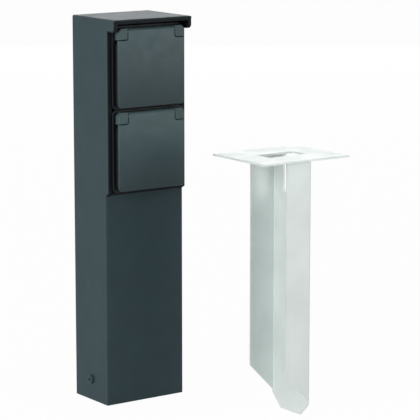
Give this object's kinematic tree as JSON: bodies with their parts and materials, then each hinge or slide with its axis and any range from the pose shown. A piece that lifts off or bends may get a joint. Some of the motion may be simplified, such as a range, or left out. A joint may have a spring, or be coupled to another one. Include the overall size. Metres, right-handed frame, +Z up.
{
  "type": "garden socket post",
  "caption": "Short outdoor power post: hooded folded-sheet column with spring-lidded sockets one above the other, and a loose welded ground anchor.",
  "frame": {"origin": "middle of the post's foot on the ground, at the centre of the ground bolts", "axes": "+X to the right of somebody facing the sockets, +Y from the sockets to the back, +Z up"},
  "size_m": [0.1838, 0.23, 0.4],
  "materials": {
    "post_paint": "fine-textured anthracite powder coat",
    "screw_coating": "satin anthracite",
    "black_plastic": "matt black",
    "frame_plastic": "fine-textured anthracite",
    "lid_plastic": "fine-textured anthracite",
    "insert_plastic": "satin anthracite",
    "rubber": "matt black rubber",
    "base_plastic": "satin off-white",
    "shutter_plastic": "satin light grey",
    "block_plastic": "satin natural white",
    "clamp_plastic": "matt grey",
    "brass": "bright drawn",
    "tinned_copper": "tinned",
    "zinc_steel": "bright zinc plated",
    "stainless": "satin stainless",
    "galvanised": "hot-dip galvanised",
    "anchor_steel": "pale galvanised sheet",
    "anchor_weld": "galvanised weld bead",
    "line_wire": "brown insulation",
    "neutral_wire": "blue insulation",
    "earth_wire": "green and yellow insulation"
  },
  "bodies": {
    "post": {"anchor_channel": "anchor_steel", "anchor_plate": "anchor_steel", "anchor_welds": "anchor_weld", "cable_clamp": "clamp_plastic", "cable_clamp_screws": "zinc_steel", "cable_grommet": "rubber", "column_shell": "post_paint", "earth_bond_wire": "earth_wire", "earth_nut": "zinc_steel", "earth_ring": "tinned_copper", "earth_stud": "zinc_steel", "foot_bracket": "galvanised", "front_panel": "post_paint", "loop_earth_wire": "earth_wire", "loop_line_wire": "line_wire", "loop_neutral_wire": "neutral_wire", "lower_centre_screw": "zinc_steel", "lower_contact_base": "base_plastic", "lower_contact_screws": "zinc_steel", "lower_earth_strap": "tinned_copper", "lower_flange_nuts": "zinc_steel", "lower_flange_screws": "stainless", "lower_frame_gasket": "rubber", "lower_hinge_pins": "stainless", "lower_lid_spring": "zinc_steel", "lower_line_contact": "brass", "lower_neutral_contact": "brass", "lower_shutter_spring": "zinc_steel", "lower_socket_frame": "frame_plastic", "lower_socket_insert": "insert_plastic", "side_rivet_nuts": "zinc_steel", "side_screws": "screw_coating", "socket_surround": "black_plastic", "supply_earth_wire": "earth_wire", "supply_line_wire": "line_wire", "supply_neutral_wire": "neutral_wire", "terminal_block": "block_plastic", "terminal_block_screws": "zinc_steel", "terminal_screws": "zinc_steel", "terminal_tubes": "brass", "upper_centre_screw": "zinc_steel", "upper_contact_base": "base_plastic", "upper_contact_screws": "zinc_steel", "upper_earth_strap": "tinned_copper", "upper_flange_nuts": "zinc_steel", "upper_flange_screws": "stainless", "upper_frame_gasket": "rubber", "upper_hinge_pins": "stainless", "upper_lid_spring": "zinc_steel", "upper_line_contact": "brass", "upper_neutral_contact": "brass", "upper_shutter_spring": "zinc_steel", "upper_socket_frame": "frame_plastic", "upper_socket_insert": "insert_plastic"},
    "lower_lid_body": {"lower_lid": "lid_plastic", "lower_lid_seal": "rubber"},
    "lower_shutter_body": {"lower_shutter": "shutter_plastic"},
    "upper_lid_body": {"upper_lid": "lid_plastic", "upper_lid_seal": "rubber"},
    "upper_shutter_body": {"upper_shutter": "shutter_plastic"}
  },
  "joints": [
    {"name": "lower_lid_hinge", "type": "hinge", "parent": "post", "child": "lower_lid_body", "pos_m": [0, -0.0424, 0.3024], "axis": [-1, 0, 0], "range_deg": [0, 105], "stiffness_Nm_per_rad": 0.02, "springref_deg": -85.94},
    {"name": "lower_shutter_slide", "type": "slide", "parent": "post", "child": "lower_shutter_body", "axis": [0, 0, 1], "range_m": [-0.006, 0], "stiffness_N_per_m": 150, "springref_m": 0.004, "deforming": ["lower_shutter_spring"]},
    {"name": "upper_lid_hinge", "type": "hinge", "parent": "post", "child": "upper_lid_body", "pos_m": [0, -0.0424, 0.3874], "axis": [-1, 0, 0], "range_deg": [0, 105], "stiffness_Nm_per_rad": 0.02, "springref_deg": -85.94},
    {"name": "upper_shutter_slide", "type": "slide", "parent": "post", "child": "upper_shutter_body", "axis": [0, 0, 1], "range_m": [-0.006, 0], "stiffness_N_per_m": 150, "springref_m": 0.004, "deforming": ["upper_shutter_spring"]}
  ]
}
